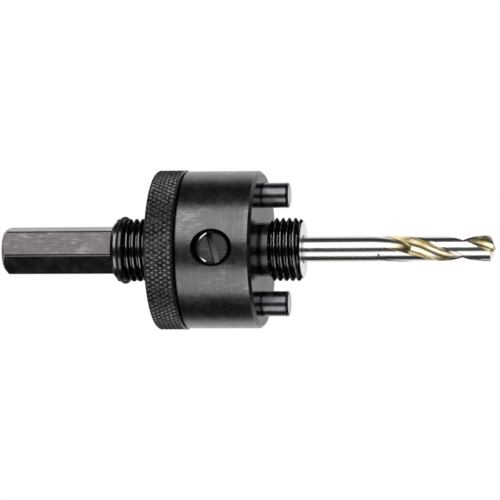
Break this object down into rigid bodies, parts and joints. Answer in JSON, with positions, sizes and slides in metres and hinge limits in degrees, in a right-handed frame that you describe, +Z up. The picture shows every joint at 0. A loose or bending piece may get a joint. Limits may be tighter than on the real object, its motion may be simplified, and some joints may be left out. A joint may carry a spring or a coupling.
{
  "type": "hole saw arbor",
  "caption": "Hole saw arbor with a hexagon shank, a threaded nose, sliding drive pins moved by a knurled nut, and a twist pilot drill.",
  "frame": {"origin": "centre of the head's front face, the centre of the circle of the two drive pins", "axes": "+X along the arbor from the shank to the tip of the pilot drill, +Z up through the upper drive pin"},
  "size_m": [0.125, 0.0404, 0.0404],
  "materials": {
    "black_oxide_steel": "turned steel, black oxide, satin",
    "knurled_black_steel": "diamond knurled steel, black oxide",
    "hardened_pin_steel": "ground and blackened steel, satin",
    "spring_steel": "black spring steel",
    "screw_steel": "black oxide, worn bright in the slot",
    "high_speed_steel": "bright ground high speed steel, straw tinted flutes"
  },
  "bodies": {
    "spindle": {"arbor_spindle": "black_oxide_steel", "nut_stop_ring": "spring_steel", "pilot_set_screw": "screw_steel", "pilot_drill": "high_speed_steel"},
    "pin_carriage": {"pin_carrier": "black_oxide_steel", "drive_pin_upper": "hardened_pin_steel", "drive_pin_lower": "hardened_pin_steel"},
    "lock_nut": {"knurled_nut": "knurled_black_steel", "carrier_snap_ring": "spring_steel"}
  },
  "joints": [
    {"name": "pin_slide", "type": "slide", "parent": "spindle", "child": "pin_carriage", "axis": [1, 0, 0], "range_m": [-0.0074, 0]},
    {"name": "nut_turn", "type": "hinge", "parent": "pin_carriage", "child": "lock_nut", "pos_m": [-0.023, 0, 0], "axis": [1, 0, 0], "range_deg": [-1677.6, 0]}
  ],
  "couplings": [
    {"joint": "pin_slide", "follows": "nut_turn", "m_per_rad": 0.00025266}
  ]
}
